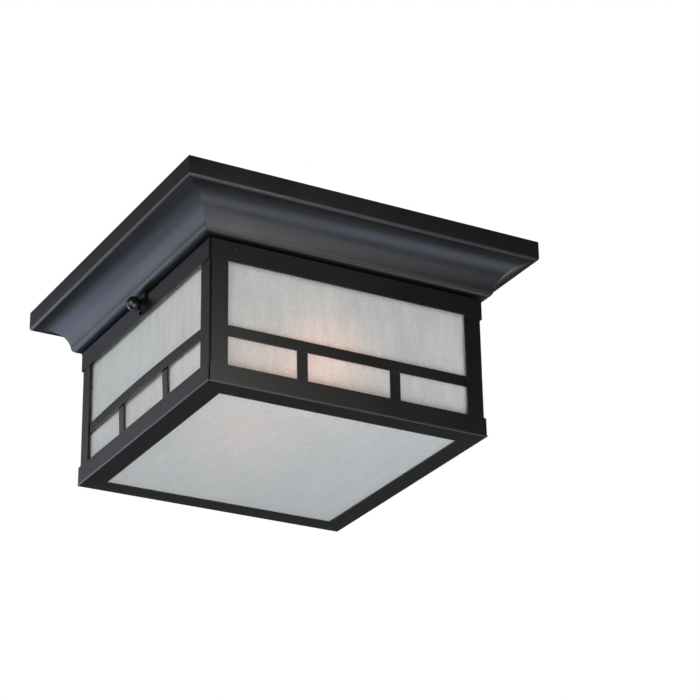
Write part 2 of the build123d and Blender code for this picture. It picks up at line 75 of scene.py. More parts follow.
# Steps along the curves, and sides of the turned pieces
ROUND_STEPS = 3
COVE_STEPS = 49
PAN_BEND_STEPS = 13
RAIL_OUTER_STEPS = 7
RAIL_INNER_STEPS = 5
GASKET_STEPS = 60
BAR_STEPS = 33
MUNTIN_STEPS = 9
WELD_STEPS = 9
WELD_SIDES = 24
THREAD_STEPS = 61
BALL_STEPS = 33
SCREW_SIDES = 48
GLOBE_STEPS = 49
FLARE_STEPS = 25
CAP_STEPS = 90
BULB_SIDES = 64


def linear(hex_colour):
    """Linear red, green and blue of an sRGB hex colour."""
    steps = np.array([int(hex_colour[i:i + 2], 16) for i in (1, 3, 5)]) / 255
    return tuple(np.where(steps <= 0.04045, steps / 12.92, ((steps + 0.055) / 1.055) ** 2.4).tolist())


def length(name, description, millimetres):
    """A length property whose default is given in millimetres."""
    return FloatProperty(name=name, description=description, default=millimetres * MM,
                         unit="LENGTH", precision=5)


def angle(name, description, degrees):
    """An angle property whose default is given in degrees."""
    return FloatProperty(name=name, description=description, default=math.radians(degrees), subtype="ANGLE")


def factor(name, description, share):
    """A property from 0 to 1."""
    return FloatProperty(name=name, description=description, default=share, min=0, max=1, subtype="FACTOR")


def colour(name, description, hex_colour):
    """A colour property whose default is given as an sRGB hex value."""
    return FloatVectorProperty(name=name, description=description, subtype="COLOR", size=3,
                               min=0, max=1, default=linear(hex_colour))


# Settings that a user would change
class PorchLightMetal(bpy.types.PropertyGroup):
    """Sizes of the sheet-steel pan, cage and thumb screws."""

    edge_round: length("Edge round", "Radius that the enamel leaves on a cut sheet edge", 0.3)
    pan_sheet: length("Pan sheet", "Thickness of the pan's sheet steel", 1.2)
    lip_height: length("Lip height", "Height of the upright lip above its bead", 14.2)
    bead_radius: length("Bead radius", "Radius of the rolled lower edge of the lip", 2.4)
    hem_depth: length("Hem depth", "Depth of the hem folded inside the lip", 8.0)
    cove_radius: length("Cove radius", "Radius of the hollow cove", 25.6)
    cove_lip_slope: angle("Cove slope at the lip", "Slope from level where the cove leaves the bead", 2.0)
    cove_foot_slope: angle("Cove slope at the foot", "Slope from upright where the cove meets the foot", 8.4)
    foot_radius: length("Foot radius", "Radius of the bend from the cove to the ledge", 4.5)
    rail_sheet: length("Rail sheet", "Thickness of the bent rails", 1.2)
    rail_bend: length("Rail bend", "Outer radius of the bend between a rail's leg and flange", 1.4)
    rail_seam: length("Rail seam", "Gap between the mitred flanges of two rails", 0.3)
    strip_gap: length("Strip gap", "Gap that is left where two strips meet", 0.2)
    muntin_width: length("Muntin width", "Width of the short upright bars", 8.9)
    bar_bow: length("Bar bow", "How far the left mid bar is sprung outwards at its middle", 2.4)
    gasket_width: length("Gasket width", "Width of the foam strips", 9.0)
    gasket_gap: length("Gasket gap", "Gap between the ends of two foam strips", 0.2)
    weld_radius: length("Weld radius", "Radius of a weld that stands out of the enamel", 1.3)
    weld_rise: length("Weld rise", "How far a weld stands out of the enamel", 0.4)
    rail_weld_inset: length("Rail weld inset", "Distance of the top rail's weld from its left end", 22.0)
    rail_weld_drop: length("Rail weld drop", "Distance of the top rail's weld from its top", 5.3)
    ball_radius: length("Ball radius", "Radius of a thumb screw's ball head", 5.8)
    seat_radius: length("Seat radius", "Radius of the flat on which a ball head bears", 3.5)
    screw_radius: length("Screw radius", "Radius of a thumb screw's shank", 2.0)
    screw_pitch: length("Screw pitch", "Pitch of a thumb screw's thread", 0.7)
    enamel: colour("Enamel", "Black of the baked enamel", "#070707")
    enamel_worn: colour("Enamel, thin", "Black of the enamel where its coat is thin", "#0c0c0c")


class PorchLightGlass(bpy.types.PropertyGroup):
    """Look of the frosted panes and of the lit bulbs."""

    glass: colour("Glass", "White of the frosted glass", "#edefed")
    glass_thin: colour("Glass, thin frost", "Grey of the glass where its frost is thin", "#cacecb")
    # Painted glint: the white that the peaks of the frost crystals get in their colour, standing for light
    # that they catch
    speck_glint: colour("Speck", "White of a frost crystal that catches the light", "#ffffff")
    glass_roughness: factor("Glass roughness", "Roughness of the frosted face", 0.5)
    glass_passage: factor("Glass passage", "Share of the light that goes through the glass", 0.45)
    streak_width: length("Streak width", "Width of a soft streak left by the rolling of the sheet", 6.5)
    streak_length: length("Streak length", "Length of a soft streak left by the rolling of the sheet", 30.0)
    streak_share: factor("Streak share", "How much the streaks tell beside the frost grain", 0.36)
    crystal_size: length("Crystal size", "Size at which the frost crystals are drawn", 1.3)
    bottom_contrast: factor("Bottom contrast", "How much the frost of the bottom pane tells", 0.5)
    bulb_thin: colour("Bulb, thin frost", "Tone of a bulb where its frost is thin", "#ece4d6")
    bulb_thick: colour("Bulb, thick frost", "Tone of a bulb where its frost is thick", "#f6f2ea")
    glow: colour("Glow", "Colour of the light from a bulb", "#ffac7e")
    glow_strength: FloatProperty(name="Glow strength", description="Brightness of a lit bulb's globe",
                                 default=2.75, min=0)
    neck_glow: factor("Neck glow", "Brightness of a lit bulb's neck beside its globe", 0.15)
    bulb_wall: length("Bulb wall", "Thickness of a bulb's glass", 0.8)
    bulb_neck: length("Bulb neck", "Radius of a bulb's neck", 12.5)
    bulb_neck_length: length("Bulb neck length", "Straight length of a bulb's neck", 8.0)
    bulb_flare: angle("Bulb flare", "Where the flare meets the globe, round from the tip", 125.0)
    cap_wall: length("Cap wall", "Thickness of a bulb's cap", 0.4)
    thread_pitch: length("Cap thread pitch", "Pitch of the thread rolled into a bulb's cap", 3.6)
    thread_depth: length("Cap thread depth", "Depth of the thread rolled into a bulb's cap", 0.7)


class PorchLightStage(bpy.types.PropertyGroup):
    """Camera and floor."""

    camera_place: FloatVectorProperty(name="Camera", description="Where the camera stands", size=3,
                                      subtype="TRANSLATION", default=(-0.7974, -1.5171, -0.8403))
    camera_azimuth: angle("Azimuth", "Turn of the view about the vertical", -29.66)
    camera_elevation: angle("Elevation", "Height of the view above the horizon", -24.36)
    camera_roll: angle("Roll", "Tilt of the picture", -1.02)
    lens: FloatProperty(name="Lens", description="Focal length in millimetres on a 36 mm sensor",
                        default=121.05)
    floor_drop: length("Floor drop", "Height of the ceiling above the floor", 2400)
    floor_size: length("Floor size", "Side of the square floor", 12000)
    floor: colour("Floor", "Pale colour of the floor", "#e4e4e2")
    floor_lift: factor("Floor lift", "How far the floor is lifted to pale for the camera alone", 0.7)


# Mesh building
def turned(points, degrees):
    """Points turned about the vertical middle line of the light."""
    turn = math.radians(degrees)
    cosine = math.cos(turn)
    sine = math.sin(turn)
    return points @ np.array([[cosine, -sine, 0], [sine, cosine, 0], [0, 0, 1]]).T


def arc(centre, radius, start, end, steps):
    """Points on a circle from one angle to another, in degrees: centre plus radius times cosine and sine."""
    angles = np.radians(np.linspace(start, end, steps))
    return np.array(centre) + radius * np.stack([np.cos(angles), np.sin(angles)], axis=1)


def grid_faces(rows, columns, close_rows=False, close_columns=False):
    """Corner numbers of the quads of a grid, whose last row or column may join on to its first."""
    row = np.arange(rows if close_rows else rows - 1)[:, None]
    column = np.arange(columns if close_columns else columns - 1)[None, :]
    next_row = (row + 1) % rows
    next_column = (column + 1) % columns
    corners = [row * columns + column, row * columns + next_column,
               next_row * columns + next_column, next_row * columns + column]
    return np.stack(corners, axis=-1).reshape(-1, 4).tolist()


def end_faces(rows):
    """The two quads that close a tube of four sides at its first and its last row."""
    last = 4 * (rows - 1)
    return [[0, 1, 2, 3], [last, last + 1, last + 2, last + 3]]


def new_piece(name, points, faces, slot, body, stands_for=(), edge_round=0.0, finish=None):
    """Make a mesh, close its poles, turn its faces outwards, give it its finish and fix it to a body."""
    mesh = bpy.data.meshes.new(name)
    mesh.from_pydata(points.tolist(), [], faces)
    shell = bmesh.new()
    shell.from_mesh(mesh)
    bmesh.ops.remove_doubles(shell, verts=shell.verts, dist=MERGE_DISTANCE)
    bmesh.ops.recalc_face_normals(shell, faces=shell.faces)
    shell.to_mesh(mesh)
    shell.free()
    mesh.shade_smooth()
    mesh.set_sharp_from_angle(angle=SHARP_ANGLE)
    mesh.materials.append(bpy.data.materials[finish or FINISH_OF_SLOT[slot]])
    piece = bpy.data.objects.new(name, mesh)
    bpy.context.scene.collection.objects.link(piece)
    if edge_round:
        rounding = piece.modifiers.new("Edge round", "BEVEL")
        rounding.width = edge_round
        rounding.segments = ROUND_STEPS
        rounding.limit_method = "ANGLE"
        rounding.angle_limit = SHARP_ANGLE
        rounding.harden_normals = True
    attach(piece, body)
    if stands_for:
        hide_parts(*stands_for)
    return piece


def lathe(profile, start, axis, steps):
    """Profile of (length, radius) turned round an axis.

    Each point is start + length * axis + radius * (side * cosine + up * sine).
    """
    axis = np.array(axis, float)
    up = np.array([0.0, 0.0, 1.0])
    side = np.cross(up, axis)
    angles = np.linspace(0, 2 * math.pi, steps, endpoint=False)
    ring = np.cos(angles)[:, None] * side + np.sin(angles)[:, None] * up
    along = profile[:, :1] * axis
    points = np.array(start) + along[:, None, :] + profile[:, 1, None, None] * ring[None, :, :]
    return points.reshape(-1, 3)


def bar_along(path, across, out, width, sheet):
    """Flat bar: a rectangle of width by sheet carried along a path, closed at both ends."""
    corners = np.array([[-1, -1], [1, -1], [1, 1], [-1, 1]]) / 2
    section = corners[:, :1] * width * np.array(across) + corners[:, 1:] * sheet * np.array(out)
    points = (path[:, None, :] + section[None, :, :]).reshape(-1, 3)
    return points, grid_faces(len(path), 4, close_columns=True) + end_faces(len(path))


def joined(meshes):
    """Several point arrays and face lists as one."""
    points = np.concatenate([m[0] for m in meshes])
    starts = np.cumsum([0] + [len(m[0]) for m in meshes[:-1]])
    faces = [[corner + int(start) for corner in face] for m, start in zip(meshes, starts) for face in m[1]]
    return points, faces


# Shader nodes
def add_node(tree, kind, inputs=None, **settings):
    """Add a node with its settings, and give each input a value or a link from another node's output."""
    node = tree.nodes.new(kind)
    for name, value in settings.items():
        setattr(node, name, value)
    for socket, value in (inputs or {}).items():
        if isinstance(value, bpy.types.NodeSocket):
            tree.links.new(value, node.inputs[socket])
        else:
            node.inputs[socket].default_value = value
    return node


def new_material(name):
    """Empty material: its node tree and its Object coordinates."""
    material = bpy.data.materials.new(name)
    material.use_nodes = True
    material.node_tree.nodes.clear()
    return material.node_tree, add_node(material.node_tree, "ShaderNodeTexCoord").outputs["Object"]


def per_metre(millimetres):
    """Texture scale for a pattern of that size, because Object coordinates are in metres."""
    return 1 / (millimetres * MM)


def opaque(red_green_blue):
    """Colour with full alpha."""
    return (*red_green_blue, 1.0)


def stretched(tree, place, scale):
    """Coordinates with a scale of their own along X, Y and Z."""
    return add_node(tree, "ShaderNodeMapping", {"Vector": place, "Scale": scale}).outputs[0]


def noise(tree, place, scale, detail, **inputs):
    """Cloud of soft grains."""
    inputs = {"Vector": place, "Scale": scale, "Detail": detail, **inputs}
    return add_node(tree, "ShaderNodeTexNoise", inputs).outputs[0]


def blend(tree, share, low, high):
    """Colour that goes from low to high with the share."""
    return add_node(tree, "ShaderNodeMix", {0: share, 6: low, 7: high}, data_type="RGBA").outputs[2]


def spread(tree, value, source, target=(0.0, 1.0), **settings):
    """Value carried from one range to another."""
    inputs = {"Value": value, "From Min": source[0], "From Max": source[1],
              "To Min": target[0], "To Max": target[1]}
    return add_node(tree, "ShaderNodeMapRange", inputs, **settings).outputs[0]


def bumped(tree, height, strength, distance):
    """Normal that follows a height."""
    inputs = {"Height": height, "Strength": strength, "Distance": distance}
    return add_node(tree, "ShaderNodeBump", inputs).outputs[0]


def calculated(tree, operation, first, second=0.0):
    """Result of one step of arithmetic."""
    return add_node(tree, "ShaderNodeMath", {0: first, 1: second}, operation=operation).outputs[0]


def finish_surface(tree, inputs):
    """Principled surface with those inputs."""
    shader = add_node(tree, "ShaderNodeBsdfPrincipled", inputs)
    add_node(tree, "ShaderNodeOutputMaterial", {"Surface": shader.outputs[0]})


# Finishes
FINISH_OF_SLOT = {
    "black_enamel": "Satin black baked enamel on steel",
    "linen_glass": "Frosted sheet glass",
    "zinc_steel": "Zinc plated steel",
    "black_steel_nut": "Black oxide steel",
    "green_screw": "Green dipped steel",
    "porcelain": "White glazed porcelain",
    "brass": "Drawn brass",
    "frosted_bulb": "Inside-frosted bulb glass, lit",
    "bulb_cap_metal": "Rolled aluminium",
    "bulb_base_glass": "Black moulded glass",
    "gasket_foam": "Black closed-cell foam",
    "bushing_plastic": "Black moulded nylon",
    "block_plastic": "Cream moulded polyamide",
    "lead_black": "Black vinyl insulation",
    "lead_white": "White vinyl insulation",
}
FLAT_GLASS = "Frosted sheet glass, laid flat"
PAN_ENAMEL = "Dull black baked enamel on steel"

# Lowest and highest roughness of the enamel
CAGE_GLOSS = (0.29, 0.36)
PAN_GLOSS = (0.33, 0.39)
ENAMEL_IOR = 1.5
GLASS_IOR = 1.5
BULB_ROUGHNESS = 0.3

# Patterns, in millimetres
RIPPLE_SIZE = 2.2
RIPPLE_HEIGHT = 0.03
COAT_SIZE = 45
CRYSTAL_HEIGHT = 0.1
BULB_CLOUD_SIZE = 12
FLOOR_CLOUD_SIZE = 300

# Share of the finest grains in the frost crystals
CRYSTAL_SHARPNESS = 0.7

# How strongly each relief shows
GRAIN_BUMP = 0.6
RIPPLE_BUMP = 0.25
CRYSTAL_BUMP = 0.3

# Between these values of a cloud the gloss or the tone changes
CLOUD_RANGE = (0.3, 0.7)
FROST_RANGE = (0.32, 0.68)
# Above these values of the crystals the colour turns to the white of the painted glints
SPECK_GLINT_RANGE = (0.64, 0.68)

# Finishes with one cloud of grains. Roughness is a lowest and a highest value. Grain is the size of a grain
# along X, Y and Z, and relief is its height, in millimetres.
GRAINED_FINISHES = {
    # Bright blue-white plating over drawn strip: fine lines along the strip and a soft metal gloss.
    "zinc_steel": dict(tones=("#aeb1b5", "#c9ccd0"), roughness=(0.28, 0.42), grain=(9, 0.8, 0.8), relief=0.02,
                       shader={"Metallic": 1.0}),
    # Blackened steel: nearly black metal with a dull sheen.
    "black_steel_nut": dict(tones=("#18181a", "#2a2a2c"), roughness=(0.35, 0.5), grain=(1.5, 1.5, 1.5),
                            relief=0.02, shader={"Metallic": 0.6}),
    # Dipped paint: thick glossy green that pools unevenly.
    "green_screw": dict(tones=("#0f5a2c", "#1f8a47"), roughness=(0.2, 0.35), grain=(2, 2, 2), relief=0.03,
                        shader={"IOR": 1.5}),
    # Glazed porcelain: creamy white under a clear wet gloss, with a slow ripple in the glaze.
    "porcelain": dict(tones=("#e6e1d6", "#f1eee6"), roughness=(0.08, 0.16), grain=(8, 8, 8), relief=0.04,
                      shader={"IOR": 1.55}),
    # Drawn brass: warm yellow metal with fine draw lines.
    "brass": dict(tones=("#b8924a", "#d6b264"), roughness=(0.2, 0.34), grain=(0.7, 0.7, 5), relief=0.01,
                  shader={"Metallic": 1.0}),
    # Rolled aluminium: pale soft metal, dull where the thread was rolled.
    "bulb_cap_metal": dict(tones=("#b9bbbd", "#d4d6d8"), roughness=(0.25, 0.4), grain=(4, 0.8, 0.8),
                           relief=0.01, shader={"Metallic": 1.0}),
    # Moulded glass: glossy black with faint flow marks.
    "bulb_base_glass": dict(tones=("#0b0b0d", "#15151a"), roughness=(0.05, 0.15), grain=(3, 3, 3),
                            relief=0.02, shader={"IOR": 1.52}),
    # Closed-cell foam: dead matt charcoal with a skin of small cells.
    "gasket_foam": dict(tones=("#121212", "#242424"), roughness=(0.85, 0.98), grain=(0.9, 0.9, 0.9),
                        relief=0.12, shader={"IOR": 1.4}),
    # Moulded nylon: dark satin with spark-eroded grain.
    "bushing_plastic": dict(tones=("#161616", "#1f1f1f"), roughness=(0.45, 0.6), grain=(0.6, 0.6, 0.6),
                            relief=0.02, shader={"IOR": 1.53}),
    # Moulded polyamide: cream satin with spark-eroded grain.
    "block_plastic": dict(tones=("#d8d2bf", "#e4dfce"), roughness=(0.42, 0.58), grain=(0.6, 0.6, 0.6),
                          relief=0.02, shader={"IOR": 1.53}),
    # Vinyl insulation: soft semi-gloss with the slow ripple of an extruder.
    "lead_black": dict(tones=("#101010", "#1a1a1a"), roughness=(0.35, 0.5), grain=(2, 2, 2), relief=0.02,
                       shader={"IOR": 1.53}),
    "lead_white": dict(tones=("#dcdad4", "#ecebe6"), roughness=(0.35, 0.5), grain=(2, 2, 2), relief=0.02,
                       shader={"IOR": 1.53}),
}


def grained(name, tones, roughness, grain, relief, shader):
    """Surface whose tone, gloss and relief follow one cloud of grains."""
    tree, place = new_material(name)
    scale = tuple(per_metre(size) for size in grain)
    cloud = noise(tree, stretched(tree, place, scale), 1.0, 3.0)
    low, high = [opaque(linear(tone)) for tone in tones]
    tone = blend(tree, cloud, low, high)
    gloss = spread(tree, cloud, CLOUD_RANGE, roughness)
    bump = bumped(tree, cloud, GRAIN_BUMP, relief * MM)
    finish_surface(tree, {"Base Color": tone, "Roughness": gloss, "Normal": bump, **shader})


def black_enamel(name, metal, roughness):
    """Baked enamel on steel: a deep black, a soft broad highlight and the fine ripple of sprayed paint."""
    tree, place = new_material(name)
    # The ripple of sprayed paint is about 1 mm across. It is drawn coarser so that it shows.
    ripple = noise(tree, place, per_metre(RIPPLE_SIZE), 2.0)
    # Coats differ in thickness over a hand's width, which shifts the gloss a little.
    coat = noise(tree, place, per_metre(COAT_SIZE), 4.0)
    tone = blend(tree, coat, opaque(metal.enamel), opaque(metal.enamel_worn))
    gloss = spread(tree, coat, CLOUD_RANGE, roughness)
    bump = bumped(tree, ripple, RIPPLE_BUMP, RIPPLE_HEIGHT * MM)
    finish_surface(tree, {"Base Color": tone, "Roughness": gloss, "IOR": ENAMEL_IOR, "Normal": bump})


def frosted_glass(name, glass, along, contrast):
    """Frosted sheet glass: milky, with a fine frost grain, soft streaks one way and scattered specks whitened
    as painted glints.
    """
    tree, place = new_material(name)
    scale = tuple(1 / (glass.streak_length if axis == along else glass.streak_width) for axis in "XYZ")
    streaks = noise(tree, stretched(tree, place, scale), 1.0, 2.0)
    # Frost crystals are a few tenths of a millimetre across. They are drawn coarser so that they show.
    crystals = noise(tree, place, 1 / glass.crystal_size, 2.0, Roughness=CRYSTAL_SHARPNESS)
    frost = add_node(tree, "ShaderNodeMix", {0: glass.streak_share, 2: crystals, 3: streaks}).outputs[0]
    frost = spread(tree, frost, FROST_RANGE, ((1 - contrast) / 2, (1 + contrast) / 2))
    tone = blend(tree, frost, opaque(glass.glass_thin), opaque(glass.glass))
    # Painted glints: the frost crystals are real grain, but their peaks are whitened in the colour as if they
    # caught the light
    speck_glint_mask = spread(tree, crystals, SPECK_GLINT_RANGE)
    glinted_tone = blend(tree, speck_glint_mask, tone, opaque(glass.speck_glint))
    bump = bumped(tree, crystals, CRYSTAL_BUMP, CRYSTAL_HEIGHT * MM)
    finish_surface(tree, {"Base Color": glinted_tone, "Roughness": glass.glass_roughness, "IOR": GLASS_IOR,
                          "Transmission Weight": glass.glass_passage, "Normal": bump})


def lit_bulb(name, glass):
    """Inside-frosted bulb glass, lit: milky and cloudy, with a warm glow that fades from globe to neck."""
    tree, place = new_material(name)
    frost = noise(tree, place, per_metre(BULB_CLOUD_SIZE), 3.0)
    tone = blend(tree, frost, opaque(glass.bulb_thin), opaque(glass.bulb_thick))
    # The front bulb's neck points along X and the rear bulb's against it, so X * sign(Y) grows to the tip.
    low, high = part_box("bulb_glass_front")
    globe = low.x + (high.z - low.z) / 2
    across = add_node(tree, "ShaderNodeSeparateXYZ", {0: place}).outputs
    along = calculated(tree, "MULTIPLY", across["X"], calculated(tree, "SIGN", across["Y"]))
    share = spread(tree, along, (-high.x, -globe), interpolation_type="SMOOTHSTEP")
    neck = tuple(part * glass.neck_glow for part in glass.glow)
    glow = blend(tree, share, opaque(neck), opaque(glass.glow))
    finish_surface(tree, {"Base Color": tone, "Roughness": BULB_ROUGHNESS, "IOR": GLASS_IOR,
                          "Emission Color": glow, "Emission Strength": glass.glow_strength})


class PORCHLIGHT_OT_finishes(bpy.types.Operator):
    """Make the finishes, and give them to every piece of the frame"""

    bl_idname = "porch_light.finishes"
    bl_label = "Finishes"

    def execute(self, context):
        metal = context.scene.porch_light_metal
        glass = context.scene.porch_light_glass
        names = FINISH_OF_SLOT
        black_enamel(names["black_enamel"], metal, CAGE_GLOSS)
        # The deep pan takes a thicker, duller coat than the strips of the cage.
        black_enamel(PAN_ENAMEL, metal, PAN_GLOSS)
        frosted_glass(names["linen_glass"], glass, along="Z", contrast=1.0)
        # The sheet in the bottom is more evenly frosted than the side panes.
        frosted_glass(FLAT_GLASS, glass, along="Y", contrast=glass.bottom_contrast)
        lit_bulb(names["frosted_bulb"], glass)
        for slot, finish in GRAINED_FINISHES.items():
            grained(names[slot], **finish)
        for name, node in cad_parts.items():
            for slot in node.material_slots:
                finish = FLAT_GLASS if name == "bottom_glass" else names[slot.material.name]
                slot.material = bpy.data.materials[finish]
        return {"FINISHED"}


# Pieces
def pan_profile(metal, half):
    """Section of the pan as half width and height, from under its floor out over the lip and back inside.

    The outer line is three circles, each tangent to the next: a rounded foot, a hollow cove and the lip's
    bead. The inner line is the same moved in by one sheet, with the hem folded down inside the lip.
    """
    lip_slope, foot_slope = metal.cove_lip_slope, metal.cove_foot_slope
    bead, cove, foot, sheet = metal.bead_radius, metal.cove_radius, metal.foot_radius, metal.pan_sheet
    bead_centre = np.array([half - bead, -metal.lip_height])
    cove_centre = bead_centre + (cove + bead) * np.array([math.sin(lip_slope), -math.cos(lip_slope)])
    foot_centre = cove_centre + (cove + foot) * np.array([-math.cos(foot_slope), math.sin(foot_slope)])
    lip_degrees, foot_degrees = math.degrees(lip_slope), math.degrees(foot_slope)
    inner = [
        arc(foot_centre, foot - sheet, -90, -foot_degrees, PAN_BEND_STEPS),
        arc(cove_centre, cove + sheet, 180 - foot_degrees, 90 + lip_degrees, COVE_STEPS),
        arc(bead_centre, bead - sheet, lip_degrees - 90, 0, PAN_BEND_STEPS),
        np.array([[half - sheet, -metal.hem_depth], [half - 2 * sheet, -metal.hem_depth]]),
    ]
    outer = [
        arc(foot_centre, foot, -90, -foot_degrees, PAN_BEND_STEPS),
        arc(cove_centre, cove, 180 - foot_degrees, 90 + lip_degrees, COVE_STEPS),
        arc(bead_centre, bead, lip_degrees - 90, 0, PAN_BEND_STEPS),
        np.array([[half, 0], [half - 2 * sheet, 0]]),
    ]
    return np.concatenate(outer + [np.concatenate(inner)[::-1]])


class PORCHLIGHT_OT_pan(bpy.types.Operator):
    """Coved pan and the foam gasket under it"""

    bl_idname = "porch_light.pan"
    bl_label = "Pan and gasket"

    def execute(self, context):
        metal = context.scene.porch_light_metal
        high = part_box("canopy_pan")[1]
        # The section is carried round a square: each point goes to the four corners at its own half width.
        section = pan_profile(metal, high.x)
        corners = np.array([[-1, -1, 0], [1, -1, 0], [1, 1, 0], [-1, 1, 0]])
        upright = np.array([0, 0, 1])
        points = section[:, None, :1] * corners + section[:, None, 1:] * upright
        faces = grid_faces(len(section), 4, close_columns=True) + end_faces(len(section))
        shell = new_piece("pan_shell", points.reshape(-1, 3), faces, "black_enamel", "canopy", ["canopy_pan"],
                          metal.edge_round, PAN_ENAMEL)
        self.sharpen_mitres(shell.data)
        self.lay_gasket(metal)
        return {"FINISHED"}

    def sharpen_mitres(self, mesh):
        """Keep the mitres crisp, also where two sides meet at a low angle.

        An edge lies on a mitre where both its ends are in the same corner of the square.
        """
        places = np.empty(3 * len(mesh.vertices))
        mesh.vertices.foreach_get("co", places)
        ends = np.empty(2 * len(mesh.edges), int)
        mesh.edges.foreach_get("vertices", ends)
        corner = np.sign(places.reshape(-1, 3)[ends.reshape(-1, 2), :2])
        crisp = np.empty(len(mesh.edges), bool)
        mesh.attributes["sharp_edge"].data.foreach_get("value", crisp)
        crisp |= (corner[:, 0] == corner[:, 1]).all(axis=1)
        mesh.attributes["sharp_edge"].data.foreach_set("value", crisp)

    def lay_gasket(self, metal):
        """Four foam strips, each a rectangle carried along one side, whose edges wander as foam does.

        The wander is a sum of sine waves of the place along the side.
        """
        low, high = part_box("pan_gasket")
        outside = high.x
        width = metal.gasket_width
        stations = np.linspace(-outside, outside - width - metal.gasket_gap, GASKET_STEPS)
        wander = sum(height * np.sin(stations / wave) for height, wave in GASKET_WAVES)
        middle = np.full_like(stations, (low.z + high.z) / 2)
        line = np.column_stack([stations, width / 2 - outside + wander, middle])
        strip, faces = bar_along(line, (0, 1, 0), (0, 0, 1), width - GASKET_TRIM, high.z - low.z)
        points, faces = joined([(turned(strip, degrees), faces) for degrees in SIDES.values()])
        gasket = new_piece("foam_gasket", points, faces, "gasket_foam", "canopy", ["pan_gasket"],
                           metal.edge_round)


def angle_rail(metal, half, height, flange):
    """Bent angle strip on the front side, its flange at height 0 and its leg up.

    The section is a leg and a flange joined by two quarter circles. It is carried straight along the side.
    The flange and bend end on the mitre, where length equals half width, and the leg ends square, one sheet
    earlier.
    """
    sheet, bend = metal.rail_sheet, metal.rail_bend
    inner = max(bend - sheet, LEAST_BEND)
    leg_start = sheet + inner
    outer_arc = arc((half - bend, bend), bend, 0, -90, RAIL_OUTER_STEPS)
    inner_arc = arc((half - leg_start, leg_start), inner, -90, 0, RAIL_INNER_STEPS)
    leg = np.array([[half - sheet, height], [half, height], [half, leg_start]])
    flange_end = np.array([[half - flange, 0], [half - flange, sheet]])
    outline = np.concatenate([leg, outer_arc, flange_end, inner_arc, [[half, leg_start]]])
    mitre = outline[:, 0] - metal.rail_seam / math.sqrt(2)
    square = half - sheet - metal.strip_gap
    count = len(outline) - 1
    ends = mitre.copy()
    ends[[0, 1, 2, count - 1]] = square
    left = np.column_stack([-ends, -outline[:, 0], outline[:, 1]])
    right = np.column_stack([ends, -outline[:, 0], outline[:, 1]])
    points = np.concatenate([left, right])
    start = np.arange(count)
    following = (start + 1) % count
    far = count + 1
    faces = np.column_stack([start, start + far, following + far, following])
    # The outer face carries two more corners where the square leg ends above the longer bend.
    step_left, step_right = count, count + far
    faces = np.delete(faces, 2, axis=0).tolist()
    faces.append([2, 2 + far, step_right, 3 + far, 3, step_left])
    for side, step in ((0, step_left), (far, step_right)):
        faces.append([side, side + 1, side + 2, side + count - 1])
        faces.append([side + 2, step, side + count - 1])
        faces.append([step] + list(range(side + 3, side + count)))
    return points, faces


class PORCHLIGHT_OT_rails(bpy.types.Operator):
    """Bent angle rails round the top and bottom of the cage"""

    bl_idname = "porch_light.rails"
    bl_label = "Rails"

    def execute(self, context):
        metal = context.scene.porch_light_metal
        for level, way in (("top", -1), ("bottom", 1)):
            low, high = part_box(f"{level}_rail_front")
            flange_height = high.z if level == "top" else low.z
            points, faces = angle_rail(metal, -low.y, high.z - low.z, high.y - low.y)
            points = points * np.array([1, 1, way]) + np.array([0, 0, flange_height])
            for side, degrees in SIDES.items():
                new_piece(f"rail_{level}_{side}", turned(points, degrees), faces, "black_enamel", "cage",
                          [f"{level}_rail_{side}"], metal.edge_round)
        return {"FINISHED"}


class PORCHLIGHT_OT_posts(bpy.types.Operator):
    """Corner posts, each of two strips that meet with an open seam"""

    bl_idname = "porch_light.posts"
    bl_label = "Corner posts"

    def execute(self, context):
        metal = context.scene.porch_light_metal
        low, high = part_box("corner_post_front_left")
        sheet = metal.rail_sheet
        seam_side = low.x + sheet + metal.strip_gap
        width = high.x - seam_side
        heights = np.array([low.z, high.z])
        # One strip faces the front and the other the left, and each is carried straight up.
        front = np.column_stack([np.full(2, seam_side + width / 2), np.full(2, low.y + sheet / 2), heights])
        left = front[:, [1, 0, 2]]
        points, faces = joined([bar_along(front, (1, 0, 0), (0, 1, 0), width, sheet),
                                bar_along(left, (0, 1, 0), (1, 0, 0), width, sheet)])
        for corner, degrees in CORNERS.items():
            new_piece(f"post_{corner}", turned(points, degrees), faces, "black_enamel", "cage",
                      [f"corner_post_{corner}"], metal.edge_round)
        return {"FINISHED"}


